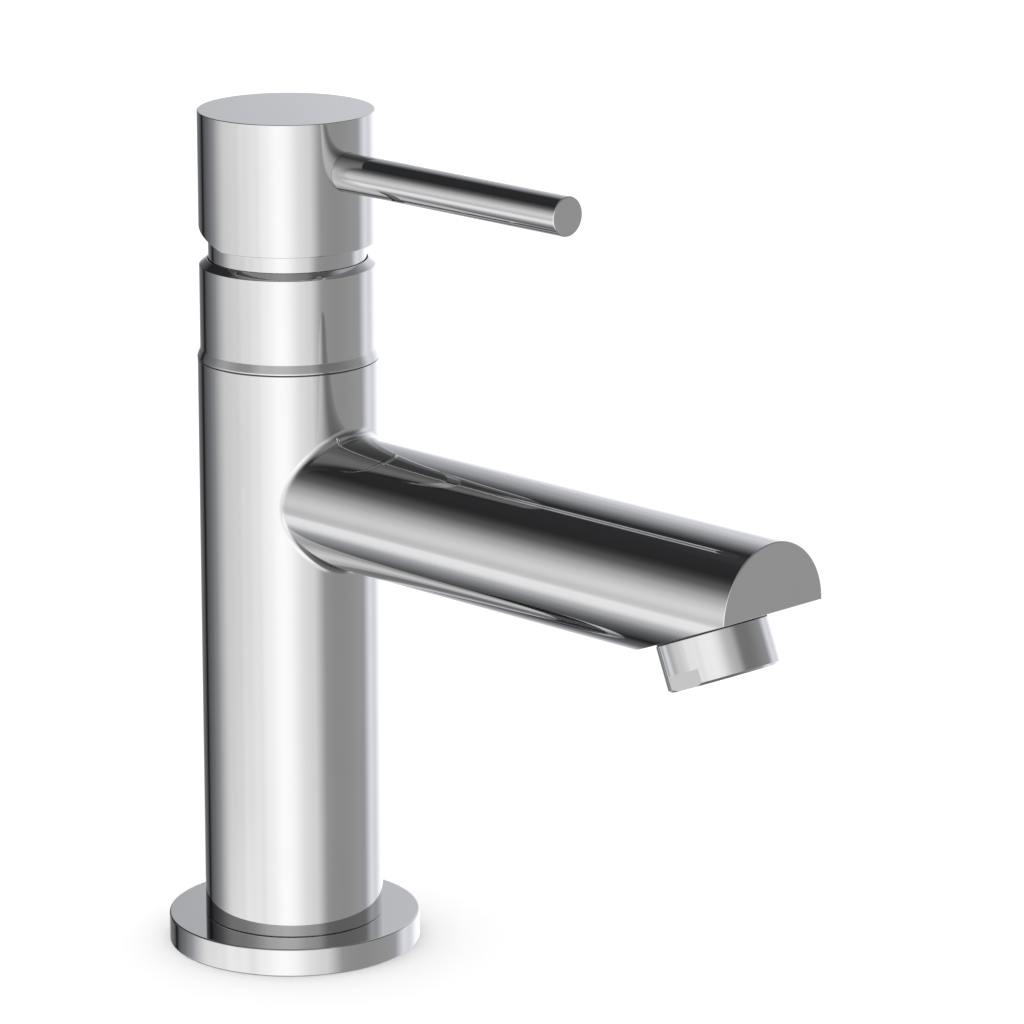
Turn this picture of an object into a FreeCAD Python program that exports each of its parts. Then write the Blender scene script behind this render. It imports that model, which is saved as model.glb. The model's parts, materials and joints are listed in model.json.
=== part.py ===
import FreeCAD, Part
import math
import os
import re
import Sketcher
from FreeCAD import Placement, Rotation, Vector

# Single-lever basin mixer. The origin is the centre of the flange's underside on the deck,
# +Z is up, and the spout and the lever point along -Y. All sizes are in millimetres.
SIZES = {
    # base flange and its seal
    "flange_radius": 26.82, "flange_thickness": 6.0, "flange_bore": 16.2, "edge_break": 0.3,
    "seal_inner": 21.5, "seal_outer": 24.0, "seal_depth": 1.95, "seal_play": 0.1,
    # column of the body
    "column_radius": 19.0, "column_top": 127.8, "foot_bore": 16.0, "block_bottom": 78.0,
    "seat_level": 112.0, "seat_bore": 13.5, "thread_bore": 15.2, "thread_bottom": 117.8,
    # spout
    "spout_level": 99.8, "spout_radius": 14.07, "spout_reach": 137.35, "spout_blend": 2.0,
    "spout_edge": 0.35, "mouth_angle": 22.5, "cut_margin": 2.0,
    "waterway_radius": 10.8, "waterway_start": 6.0, "waterway_end": 104.0,
    "nose_radius": 6.5, "nose_level": 104.8, "nose_end": 127.0, "waterway_lap": 3.0,
    # water ports of the body, hot at -X and cold at +X
    "port_circle": 8.8, "port_angle": 20.0, "port_radius": 2.6, "outlet_offset": 7.0,
    "outlet_depth": 8.0,
    # inlet manifold and risers
    "manifold_radius": 15.95, "manifold_height": 16.0, "inlet_radius": 4.5, "inlet_depth": 9.0,
    "stud_radius": 3.4, "stud_depth": 12.0, "riser_radius": 4.0, "riser_bore": 2.8,
    "riser_socket": 5.0, "riser_play": 0.05, "ring_section": 0.6, "ring_level": 12.0,
    # cartridge
    "base_radius": 13.4, "base_step": 117.0, "core_radius": 12.2, "disc_seat": 129.0,
    "housing_play": 0.05, "housing_step": 134.0, "housing_neck": 12.6, "housing_top": 140.8,
    "disc_bore": 11.4, "lip_bottom": 139.7, "lip_bore": 9.0, "disc_play": 0.1,
    "disc_thickness": 3.0, "inlet_port_x": 4.4, "inlet_port_y": 4.6, "inlet_port": 2.0,
    "outlet_port_y": 3.5, "outlet_port": 2.8, "channel_radius": 1.8, "channel_lap": 1.0,
    "seat_ring": 3.5, "seat_section": 0.6, "disc_ring": 3.2, "disc_section": 0.45,
    # moving disc and its driver
    "film": 0.03, "moving_radius": 7.6, "moving_thickness": 2.6, "moving_offset": 2.96,
    "mixing_y": 4.0, "mixing_radius": 4.2, "mixing_depth": 1.2, "driver_radius": 8.1,
    "driver_bottom": 132.9, "driver_top": 136.3, "driver_play": 0.05, "block_half": 3.0,
    "block_front": 2.9, "block_back": 3.4, "block_top": 139.6, "socket_x": 1.85,
    "socket_y": 2.1, "socket_floor": 135.8,
    # turning carrier
    "carrier_bottom": 136.6, "carrier_rim": 11.34, "rim_top": 139.65, "carrier_radius": 8.95,
    "shoulder": 146.5, "fork_radius": 6.5, "fork_top": 155.8, "fork_gap": 3.2,
    "slot_half": 3.1, "slot_front": 9.2, "slot_back": 3.8, "slot_top": 139.9,
    "arm_slot_half": 1.9, "arm_slot_front": 8.1, "arm_slot_back": 1.9,
    "groove_radius": 10.34, "groove_level": 138.1, "groove_half": 0.5,
    "stop_level": 141.6, "stop_radius": 0.6, "stop_root": 6.5, "stop_tip": 10.0,
    # spindle and its pivot
    "pivot_level": 152.6, "pin_radius": 1.5, "pin_half": 5.6, "pin_play": 0.05,
    "ball_radius": 1.8, "ball_drop": 14.0, "arm_radius": 1.5, "eye_half": 2.9, "eye_depth": 3.4,
    "stem_half": 3.45, "stem_top": 170.8, "eye_up": 3.2,
    # ring nut, stop ring and collar
    "nut_thread": 15.15, "nut_radius": 16.3, "nut_bottom": 118.0, "nut_top": 140.6,
    "nut_bore": 13.45, "nut_step": 134.05, "nut_mouth": 12.65, "crown_radius": 14.6,
    "crown_bottom": 138.6, "notch_half": 1.5, "notch_floor": 138.9, "notch_count": 6,
    "stop_inner": 9.3, "stop_outer": 11.0, "stop_notch": 10.4, "stop_bottom": 140.85,
    "stop_top": 142.3, "stop_half_angle": 55.0,
    "slip_inner": 15.3, "slip_radius": 18.88, "slip_thickness": 0.25,
    "collar_radius": 18.43, "flare_radius": 19.05, "flare_flat": 0.3, "flare_height": 2.0,
    "collar_shoulder": 147.75, "collar_top": 149.05, "lip_radius": 16.7, "lip_flat": 0.15,
    "collar_bore": 16.4, "collar_relief": 138.8,
    # handle
    "cap_radius": 18.45, "cap_top": 180.3, "cap_edge": 0.15, "skirt_slope": 0.287,
    "neck_radius": 16.5, "neck_bottom": 148.4, "neck_edge": 0.4, "cavity_radius": 13.5,
    "cavity_top": 160.0, "socket_half": 3.5, "socket_top": 171.0,
    "lever_level": 169.5, "lever_radius": 4.09, "lever_reach": 81.64, "lever_seat": 15.5,
    "lever_play": 0.03, "lever_edge": 0.2, "stub_radius": 2.5, "stub_end": 8.2,
    "stub_play": 0.05, "grub_level": 165.5, "grub_radius": 2.45, "grub_end": 10.5,
    "grub_key": 1.25, "grub_key_depth": 2.5, "plug_radius": 3.15, "plug_seat": 16.4,
    "plug_face": 18.3, "hole_margin": 0.55,
    # aerator, measured along its own tilted axis from the cut face of the spout
    "aerator_distance": 17.51, "socket_radius": 9.95, "socket_depth": 6.5,
    "throat_radius": 7.1, "throat_depth": 10.5, "shell_radius": 11.44, "shell_length": 9.8,
    "shell_joint": 0.3, "shell_bore": 8.9, "shell_thread": 9.9, "thread_length": 5.0,
    "shell_bevel": 0.5, "mouth_lip": 9.5, "mouth_step": 0.5, "flat_distance": 10.65,
    "flat_start": 6.5, "insert_radius": 8.85, "insert_bore": 7.9, "insert_face": 8.4,
    "grid_thickness": 1.8, "jet_radius": 0.75, "jet_pitch": 2.15,
    "screen_radius": 8.6, "screen_cone": 6.6, "screen_level": 5.1, "screen_sheet": 0.5,
    "screen_rise": 1.8, "gasket_top": 6.45, "gasket_inner": 7.05, "gasket_step": 8.7,
    "washer_inner": 10.0, "washer_outer": 11.2,
}

doc = FreeCAD.newDocument("basin_mixer")
sheet = doc.addObject("Spreadsheet::Sheet", "Sizes")
subparts = []


def fill_sheet():
    """Put every driving size in the sheet as a plain number with its name beside it."""
    for row, (alias, value) in enumerate(SIZES.items(), start=1):
        sheet.set(f"A{row}", alias)
        sheet.set(f"B{row}", str(value))
        sheet.setAlias(f"B{row}", alias)
    doc.recompute()


def bound(expression):
    """Prefix each sheet alias in an expression with the sheet's name."""
    return re.sub(r"[a-z_]+", lambda word: f"Sizes.{word[0]}" if word[0] in SIZES else word[0],
                  expression)


def size(alias):
    """Read one size back from the sheet."""
    return float(sheet.get(alias))


def new_body(label):
    """Start a sub-part as a PartDesign body."""
    body = doc.addObject("PartDesign::Body", label)
    body.Label = label
    subparts.append(body)
    return body


def new_sketch(body, name, plane, level=None, placement=None):
    """Add a sketch on one of the body's own planes, raised along its normal by level."""
    sketch = body.newObject("Sketcher::SketchObject", f"{body.Name}_{name}_sketch")
    origin_plane = next(f for f in body.Origin.OriginFeatures if f.Role == plane)
    sketch.AttachmentSupport = (origin_plane, [""])
    sketch.MapMode = "FlatFace"
    if placement:
        sketch.AttachmentOffset = placement
    if level:
        sketch.setExpression("AttachmentOffset.Base.z", bound(level))
    return sketch


def pin_point(sketch, geometry, point, across, up):
    """Fix one point of a sketch at two expressions; "0" puts it on the axis."""
    for expression, kind, axis in ((across, "DistanceX", -2), (up, "DistanceY", -1)):
        if expression == "0":
            sketch.addConstraint(Sketcher.Constraint("PointOnObject", geometry, point, axis))
        else:
            index = sketch.addConstraint(Sketcher.Constraint(kind, geometry, point, 1.0))
            sketch.setExpression(f"Constraints[{index}]", bound(expression))


def draw_outline(sketch, corners):
    """Draw a closed polygon whose corners are pairs of expressions."""
    count = len(corners)
    first = sketch.GeometryCount
    for index in range(count):
        start = Vector(index + 1, index * index, 0)
        following = (index + 1) % count
        end = Vector(following + 1, following * following, 0)
        sketch.addGeometry(Part.LineSegment(start, end))
    for index in range(count):
        following = first + (index + 1) % count
        sketch.addConstraint(Sketcher.Constraint("Coincident", first + index, 2, following, 1))
    for index, (across, up) in enumerate(corners):
        pin_point(sketch, first + index, 1, across, up)


def draw_circle(sketch, across, up, radius):
    """Draw a circle with its centre and radius bound to expressions."""
    index = sketch.addGeometry(Part.Circle(Vector(1, 1, 0), Vector(0, 0, 1), 1))
    pin_point(sketch, index, 3, across, up)
    constraint = sketch.addConstraint(Sketcher.Constraint("Radius", index, 1.0))
    sketch.setExpression(f"Constraints[{constraint}]", bound(radius))


def turn(body, name, corners, cut=False):
    """Revolve an outline of (radius, height) corners about Z, as solid or as a cut."""
    sketch = new_sketch(body, name, "XZ_Plane")
    draw_outline(sketch, corners)
    kind = "PartDesign::Groove" if cut else "PartDesign::Revolution"
    feature = body.newObject(kind, f"{body.Name}_{name}")
    feature.Profile = sketch
    feature.ReferenceAxis = (sketch, ["V_Axis"])
    feature.Angle = 360
    return feature


def extrude(body, name, sketch, length, cut=False, reverse=False, both_ways=False):
    """Pad a sketch along its normal, or cut a pocket against its normal."""
    kind = "PartDesign::Pocket" if cut else "PartDesign::Pad"
    feature = body.newObject(kind, f"{body.Name}_{name}")
    feature.Profile = sketch
    feature.setExpression("Length", bound(length))
    feature.Reversed = reverse
    feature.Midplane = both_ways
    return feature


def disc(body, name, level, length, circles, plane="XY_Plane", **options):
    """Pad or cut one or more circles given as (across, up, radius)."""
    sketch = new_sketch(body, name, plane, level)
    for across, up, radius in circles:
        draw_circle(sketch, across, up, radius)
    return extrude(body, name, sketch, length, **options)


def profile(body, name, level, length, corners, plane="XY_Plane", **options):
    """Pad or cut a polygon."""
    sketch = new_sketch(body, name, plane, level)
    draw_outline(sketch, corners)
    return extrude(body, name, sketch, length, **options)


def box_corners(left, right, low, high):
    """Corners of a rectangle from four expressions."""
    return [(left, low), (right, low), (right, high), (left, high)]


def repeat_round(body, name, feature, count):
    """Repeat a cut around the body's Z axis."""
    pattern = body.newObject("PartDesign::PolarPattern", f"{body.Name}_{name}")
    pattern.Originals = [feature]
    pattern.Axis = (next(f for f in body.Origin.OriginFeatures if f.Role == "Z_Axis"), [""])
    pattern.Angle = 360
    pattern.Occurrences = count
    body.Tip = pattern
    return pattern


def ring(label, inner, outer, bottom, top):
    """A plain ring of rectangular section."""
    body = new_body(label)
    turn(body, "section", box_corners(inner, outer, bottom, top))
    return body


def o_rings(label, centres, radius, section, level):
    """One O-ring, or a group of equal O-rings, lying level at the given centres."""
    rings = []
    for index, (x, y) in enumerate(centres):
        torus = doc.addObject("Part::Torus", f"{label}_{index}")
        torus.setExpression("Radius1", bound(radius))
        torus.setExpression("Radius2", bound(section))
        torus.Placement = Placement(Vector(x, y, 0), Rotation())
        torus.setExpression("Placement.Base.z", bound(level))
        rings.append(torus)
    if len(rings) == 1:
        group = rings[0]
    else:
        group = doc.addObject("Part::Compound", f"{label}_group")
        group.Links = rings
    group.Label = label
    subparts.append(group)


PORT_X = "port_circle * cos(port_angle)"
PORT_Y = "port_circle * sin(port_angle)"
PORT_PAIR = [(f"-{PORT_X}", PORT_Y), (PORT_X, PORT_Y)]
DISC_INLETS = [("-inlet_port_x", "-inlet_port_y"), ("inlet_port_x", "-inlet_port_y")]


def circles_at(centres, radius):
    """The same circle at each centre."""
    return [(x, y, radius) for x, y in centres]


def make_base_flange():
    """Round flange on the deck, with a groove for its seal in the underside."""
    body = new_body("base_flange")
    turn(body, "section", [
        ("flange_bore", "0"),
        ("seal_inner - seal_play", "0"),
        ("seal_inner - seal_play", "seal_depth + seal_play"),
        ("seal_outer + seal_play", "seal_depth + seal_play"),
        ("seal_outer + seal_play", "0"),
        ("flange_radius - edge_break", "0"),
        ("flange_radius", "edge_break"),
        ("flange_radius", "flange_thickness - edge_break"),
        ("flange_radius - edge_break", "flange_thickness"),
        ("flange_bore", "flange_thickness"),
    ])


def make_inlet_manifold():
    """Brass plug in the foot: two threaded inlets, the stud's hole and two riser sockets."""
    body = new_body("inlet_manifold")
    groove_bottom = "manifold_radius + riser_play - 2 * ring_section"
    turn(body, "section", [
        ("0", "0"),
        ("manifold_radius", "0"),
        ("manifold_radius", "ring_level - ring_section"),
        (groove_bottom, "ring_level - ring_section"),
        (groove_bottom, "ring_level + ring_section"),
        ("manifold_radius", "ring_level + ring_section"),
        ("manifold_radius", "manifold_height"),
        ("0", "manifold_height"),
    ])
    disc(body, "inlets", None, "inlet_depth", circles_at(PORT_PAIR, "inlet_radius"),
         cut=True, reverse=True)
    disc(body, "stud_hole", None, "stud_depth", [("0", "0", "stud_radius")],
         cut=True, reverse=True)
    disc(body, "riser_sockets", "manifold_height", "riser_socket",
         circles_at(PORT_PAIR, "riser_radius + riser_play"), cut=True)
    disc(body, "passages", "manifold_height", "manifold_height",
         circles_at(PORT_PAIR, "riser_bore"), cut=True)


def make_riser(label, x, y):
    """Copper tube from the manifold up to the solid block of the body."""
    body = new_body(label)
    bottom = "manifold_height - riser_socket"
    length = "block_bottom + riser_socket - manifold_height + riser_socket"
    disc(body, "tube", bottom, length, [(x, y, "riser_radius"), (x, y, "riser_bore")])


def mouth_placement():
    """Frame of the cut face: origin on the aerator's axis, +Z out of the spout."""
    angle = math.radians(size("mouth_angle"))
    run = size("aerator_distance")
    y = -size("spout_reach") + run * math.cos(angle)
    z = size("spout_level") - run * math.sin(angle)
    return Placement(Vector(0, y, z), Rotation(Vector(1, 0, 0), 180 - size("mouth_angle")))


def is_spout_root(edge):
    """True for the curve where the spout's tube meets the column."""
    box = edge.BoundBox
    on_column = box.YMax < -1 and box.YMin > -size("column_radius") - 1
    return on_column and box.ZLength > size("spout_radius")


def is_spout_rim(edge):
    """True for the round rim of the spout's end face."""
    box = edge.BoundBox
    return abs(box.YMax + size("spout_reach")) < 1e-3 and box.YLength < 1e-3


def round_edges(body, name, kind, base, wanted, amount):
    """Fillet or chamfer the edges of a feature that the test picks out."""
    doc.recompute()
    names = [f"Edge{i}" for i, edge in enumerate(base.Shape.Edges, start=1) if wanted(edge)]
    feature = body.newObject(kind, f"{body.Name}_{name}")
    feature.Base = (base, names)
    feature.setExpression("Radius" if kind.endswith("Fillet") else "Size", bound(amount))
    return feature


def mouth_circle(body, name, radius, depth):
    """Bore a hole square to the cut face of the spout."""
    sketch = new_sketch(body, name, "XY_Plane", placement=mouth_placement())
    draw_circle(sketch, "0", "0", radius)
    extrude(body, name, sketch, depth, cut=True)


def make_faucet_body():
    """Cast column and spout in one piece, with its bores and waterways."""
    body = new_body("faucet_body")
    turn(body, "column", [
        ("0", "flange_thickness"),
        ("column_radius - edge_break", "flange_thickness"),
        ("column_radius", "flange_thickness + edge_break"),
        ("column_radius", "column_top - edge_break / 3"),
        ("column_radius - edge_break / 3", "column_top"),
        ("0", "column_top"),
    ])
    spout = disc(body, "spout", None, "spout_reach", [("0", "spout_level", "spout_radius")],
                 plane="XZ_Plane")
    blend = round_edges(body, "root_blend", "PartDesign::Fillet", spout, is_spout_root,
                        "spout_blend")
    round_edges(body, "end_edge", "PartDesign::Chamfer", blend, is_spout_rim, "spout_edge")
    low = "spout_level - spout_radius - cut_margin"
    slope = "tan(mouth_angle)"
    profile(body, "mouth", None, "4 * spout_radius", [
        ("-spout_reach - cut_margin", f"spout_level + cut_margin * {slope}"),
        (f"-spout_reach + (spout_radius + cut_margin) / {slope}", low),
        ("-spout_reach - cut_margin", low),
    ], plane="YZ_Plane", cut=True, both_ways=True)
    turn(body, "foot_bore", box_corners("0", "foot_bore", "flange_thickness - 1",
                                        "block_bottom"), cut=True)
    turn(body, "cartridge_bore", [
        ("0", "seat_level"),
        ("seat_bore", "seat_level"),
        ("seat_bore", "thread_bottom"),
        ("thread_bore", "thread_bottom"),
        ("thread_bore", "column_top + 1"),
        ("0", "column_top + 1"),
    ], cut=True)
    disc(body, "waterway", "waterway_end", "waterway_end - waterway_start",
         [("0", "spout_level", "waterway_radius")], plane="XZ_Plane", cut=True)
    disc(body, "nose", "nose_end", "nose_end - waterway_end + waterway_lap",
         [("0", "nose_level", "nose_radius")], plane="XZ_Plane", cut=True)
    mouth_circle(body, "aerator_socket", "socket_radius", "socket_depth")
    mouth_circle(body, "throat", "throat_radius", "throat_depth")
    disc(body, "inlets", "seat_level", "seat_level - block_bottom",
         circles_at(PORT_PAIR, "port_radius"), cut=True)
    disc(body, "riser_sockets", "block_bottom + riser_socket", "riser_socket",
         circles_at(PORT_PAIR, "riser_radius + riser_play"), cut=True)
    disc(body, "outlet", "seat_level", "outlet_depth", [("0", "-outlet_offset", "port_radius")],
         cut=True)


def slanted_channel(body, name, lower, upper, radius):
    """Bore a straight channel through the cartridge foot from one port to the other."""
    lap = size("channel_lap")
    start = Vector(lower[0], lower[1], size("seat_level"))
    end = Vector(upper[0], upper[1], size("disc_seat"))
    along = (end - start).normalize()
    turn_to = Rotation(Vector(0, 0, 1), along)
    sketch = new_sketch(body, name, "XY_Plane", placement=Placement(end + along * lap, turn_to))
    draw_circle(sketch, "0", "0", radius)
    cut = extrude(body, name, sketch, radius, cut=True)
    cut.setExpression("Length", None)
    cut.Length = (end - start).Length + 2 * lap


def port_points():
    """Centres of the hot, cold and outlet ports in the seat."""
    angle = math.radians(size("port_angle"))
    x = size("port_circle") * math.cos(angle)
    y = size("port_circle") * math.sin(angle)
    return [(-x, y), (x, y), (0, -size("outlet_offset"))]


def disc_points():
    """Centres of the hot, cold and outlet ports in the fixed disc."""
    x = size("inlet_port_x")
    y = -size("inlet_port_y")
    return [(-x, y), (x, y), (0, size("outlet_port_y"))]


def ring_groove(body, name, level, depth, centres, radius, section, **options):
    """Cut a square groove for an O-ring at each centre."""
    sketch = new_sketch(body, name, "XY_Plane", level)
    for x, y in centres:
        draw_circle(sketch, x, y, f"{radius} + {section}")
        draw_circle(sketch, x, y, f"{radius} - {section}")
    extrude(body, name, sketch, depth, cut=True, **options)


def make_cartridge_base():
    """Foot of the cartridge: three slanted channels and the grooves of six O-rings."""
    body = new_body("cartridge_base")
    turn(body, "section", [
        ("0", "seat_level"),
        ("base_radius", "seat_level"),
        ("base_radius", "base_step"),
        ("core_radius", "base_step"),
        ("core_radius", "disc_seat"),
        ("0", "disc_seat"),
    ])
    for name, lower, upper in zip(("hot", "cold", "outlet"), port_points(), disc_points()):
        slanted_channel(body, name, lower, upper, "channel_radius")
    seat_centres = PORT_PAIR + [("0", "-outlet_offset")]
    ring_groove(body, "seat_grooves", "seat_level", "2 * seat_section", seat_centres,
                "seat_ring", "seat_section", reverse=True)
    disc_centres = DISC_INLETS + [("0", "outlet_port_y")]
    ring_groove(body, "disc_grooves", "disc_seat", "2 * disc_section", disc_centres,
                "disc_ring", "disc_section")


def make_fixed_disc():
    """Ceramic disc that stays still, with two inlet ports and one outlet port."""
    body = new_body("fixed_disc")
    disc(body, "plate", "disc_seat", "disc_thickness", [("0", "0", "disc_bore - disc_play")])
    disc(body, "inlets", "disc_seat + disc_thickness", "disc_thickness",
         circles_at(DISC_INLETS, "inlet_port"), cut=True)
    disc(body, "outlet", "disc_seat + disc_thickness", "disc_thickness",
         [("0", "outlet_port_y", "outlet_port")], cut=True)


def make_cartridge_housing():
    """Plastic cup over the discs, with a lip that keeps the carrier in."""
    body = new_body("cartridge_housing")
    turn(body, "section", [
        ("core_radius + housing_play", "base_step"),
        ("base_radius", "base_step"),
        ("base_radius", "housing_step"),
        ("housing_neck", "housing_step"),
        ("housing_neck", "housing_top"),
        ("lip_bore", "housing_top"),
        ("lip_bore", "lip_bottom"),
        ("disc_bore", "lip_bottom"),
        ("disc_bore", "disc_seat + housing_play"),
        ("core_radius + housing_play", "disc_seat + housing_play"),
    ])


def make_cartridge_nut():
    """Ring nut that clamps the cartridge, with six spanner notches in its crown."""
    body = new_body("cartridge_nut")
    turn(body, "section", [
        ("nut_bore", "nut_bottom"),
        ("nut_thread", "nut_bottom"),
        ("nut_thread", "column_top + slip_thickness"),
        ("nut_radius", "column_top + slip_thickness + housing_play"),
        ("nut_radius", "crown_bottom"),
        ("crown_radius", "crown_bottom"),
        ("crown_radius", "nut_top"),
        ("nut_mouth", "nut_top"),
        ("nut_mouth", "nut_step"),
        ("nut_bore", "nut_step"),
    ])
    notch = profile(body, "notch", "nut_top", "nut_top - notch_floor",
                    box_corners("nut_mouth + housing_play * 10", "crown_radius + 1",
                                "-notch_half", "notch_half"), cut=True)
    repeat_round(body, "notches", notch, int(size("notch_count")))


def make_collar():
    """Trim sleeve round the nut: flared foot, straight wall and sloped lip."""
    body = new_body("collar")
    bottom = "column_top + slip_thickness"
    turn(body, "section", [
        ("collar_bore", bottom),
        ("flare_radius - flare_flat / 3", bottom),
        ("flare_radius", f"{bottom} + flare_flat / 3"),
        ("flare_radius", f"{bottom} + flare_flat"),
        ("collar_radius", f"{bottom} + flare_height"),
        ("collar_radius", "collar_shoulder"),
        ("lip_radius + lip_flat", "collar_top"),
        ("lip_radius", "collar_top"),
        ("lip_radius", "collar_relief"),
        ("collar_bore", "collar_relief"),
    ])


def sheet_cylinder(name, radius, height, angle=None):
    """A Part cylinder along +Z bound to the sheet."""
    cylinder = doc.addObject("Part::Cylinder", name)
    cylinder.setExpression("Radius", bound(radius))
    cylinder.setExpression("Height", bound(height))
    if angle:
        cylinder.setExpression("Angle", bound(angle))
    return cylinder


def sheet_box(name, length, width, height, level):
    """A Part box centred on the Z axis, from level upward."""
    block = doc.addObject("Part::Box", name)
    block.setExpression("Length", bound(length))
    block.setExpression("Width", bound(width))
    block.setExpression("Height", bound(height))
    block.setExpression("Placement.Base.x", bound(f"-({length}) / 2"))
    block.setExpression("Placement.Base.y", bound(f"-({width}) / 2"))
    block.setExpression("Placement.Base.z", bound(level))
    return block


def cut_away(label, base, tool):
    """One Part shape less another."""
    result = doc.addObject("Part::Cut", label)
    result.Base = base
    result.Tool = tool
    return result


def make_stop_ring():
    """Ring on the housing whose wide notch limits the temperature turn."""
    height = "stop_top - stop_bottom"
    blank = sheet_cylinder("stop_blank", "stop_outer", height)
    hole = sheet_cylinder("stop_hole", "stop_inner", height)
    notch = sheet_cylinder("stop_notch", "stop_notch", height, "2 * stop_half_angle")
    for piece in (blank, hole, notch):
        piece.setExpression("Placement.Base.z", bound("stop_bottom"))
    notch.Placement.Rotation = Rotation(Vector(0, 0, 1), 90 - size("stop_half_angle"))
    plain = cut_away("stop_plain", blank, hole)
    result = cut_away("stop_ring", plain, notch)
    subparts.append(result)


def make_turning_carrier():
    """Carrier that turns in the housing; its fork holds the spindle's pivot."""
    body = new_body("turning_carrier")
    turn(body, "section", [
        ("0", "carrier_bottom"),
        ("carrier_rim", "carrier_bottom"),
        ("carrier_rim", "groove_level - groove_half"),
        ("groove_radius", "groove_level - groove_half"),
        ("groove_radius", "groove_level + groove_half"),
        ("carrier_rim", "groove_level + groove_half"),
        ("carrier_rim", "rim_top"),
        ("carrier_radius", "rim_top"),
        ("carrier_radius", "shoulder"),
        ("fork_radius", "shoulder"),
        ("fork_radius", "fork_top"),
        ("0", "fork_top"),
    ])
    profile(body, "driver_slot", "slot_top", "slot_top - carrier_bottom",
            box_corners("-slot_half", "slot_half", "-slot_front", "slot_back"), cut=True)
    profile(body, "arm_slot", "fork_top", "fork_top - carrier_bottom",
            box_corners("-arm_slot_half", "arm_slot_half", "-arm_slot_front", "arm_slot_back"),
            cut=True)
    profile(body, "fork_slot", "fork_top", "fork_top - shoulder",
            box_corners("-fork_gap", "fork_gap", "-fork_radius - 1", "fork_radius + 1"),
            cut=True)
    disc(body, "pin_hole", None, "4 * fork_radius", [("0", "pivot_level", "pin_radius")],
         plane="YZ_Plane", cut=True, both_ways=True)
    disc(body, "stop_hole", "-carrier_radius - 1", "carrier_radius + 1 - stop_root",
         [("0", "stop_level", "stop_radius")], plane="XZ_Plane", cut=True, reverse=True)


def make_pivot_pin():
    """Steel pin across the fork, on the tilt axis."""
    body = new_body("pivot_pin")
    disc(body, "rod", None, "2 * pin_half", [("0", "pivot_level", "pin_radius")],
         plane="YZ_Plane", both_ways=True)


def make_stop_pin():
    """Small pin at the back of the carrier that runs in the stop ring's notch."""
    body = new_body("stop_pin")
    disc(body, "rod", "-stop_tip", "stop_tip - stop_root",
         [("0", "stop_level", "stop_radius")], plane="XZ_Plane")


def make_moving_disc():
    """Ceramic disc that slides, with the mixing recess in its underside."""
    body = new_body("moving_disc")
    bottom = "disc_seat + disc_thickness + film"
    disc(body, "plate", bottom, "moving_thickness", [("0", "moving_offset", "moving_radius")])
    disc(body, "recess", bottom, "mixing_depth", [("0", "mixing_y", "mixing_radius")],
         cut=True, reverse=True)


def make_disc_driver():
    """Plastic driver that holds the moving disc and takes the spindle's ball."""
    body = new_body("disc_driver")
    disc(body, "plate", "driver_bottom", "driver_top - driver_bottom",
         [("0", "moving_offset", "driver_radius")])
    depth = "disc_seat + disc_thickness + film + moving_thickness + film - driver_bottom"
    disc(body, "disc_pocket", "driver_bottom", depth,
         [("0", "moving_offset", "moving_radius + driver_play")], cut=True, reverse=True)
    profile(body, "block", "driver_top", "block_top - driver_top",
            box_corners("-block_half", "block_half", "-block_front", "block_back"))
    profile(body, "ball_socket", "block_top", "block_top - socket_floor",
            box_corners("-socket_x", "socket_x", "-socket_y", "socket_y"), cut=True)


def make_spindle():
    """Steel spindle: ball and arm below the pivot, eye on it, square stem above."""
    ball = doc.addObject("Part::Sphere", "spindle_ball")
    ball.setExpression("Radius", bound("ball_radius"))
    ball.setExpression("Placement.Base.z", bound("pivot_level - ball_drop"))
    arm = sheet_cylinder("spindle_arm", "arm_radius", "ball_drop")
    arm.setExpression("Placement.Base.z", bound("pivot_level - ball_drop"))
    eye = sheet_box("spindle_eye", "2 * eye_half", "2 * eye_depth", "2 * eye_up",
                    "pivot_level - eye_up")
    stem = sheet_box("spindle_stem", "2 * stem_half", "2 * stem_half",
                     "stem_top - pivot_level - 2 * eye_up", "pivot_level + 2 * eye_up")
    link = sheet_box("spindle_link", "2 * eye_half", "2 * eye_half", "2 * eye_up",
                     "pivot_level")
    blank = doc.addObject("Part::MultiFuse", "spindle_blank")
    blank.Shapes = [ball, arm, eye, link, stem]
    bore = sheet_cylinder("spindle_bore", "pin_radius + pin_play", "4 * eye_half")
    bore.Placement.Rotation = Rotation(Vector(0, 1, 0), 90)
    bore.setExpression("Placement.Base.x", bound("-2 * eye_half"))
    bore.setExpression("Placement.Base.z", bound("pivot_level"))
    subparts.append(cut_away("spindle", blank, bore))


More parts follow.
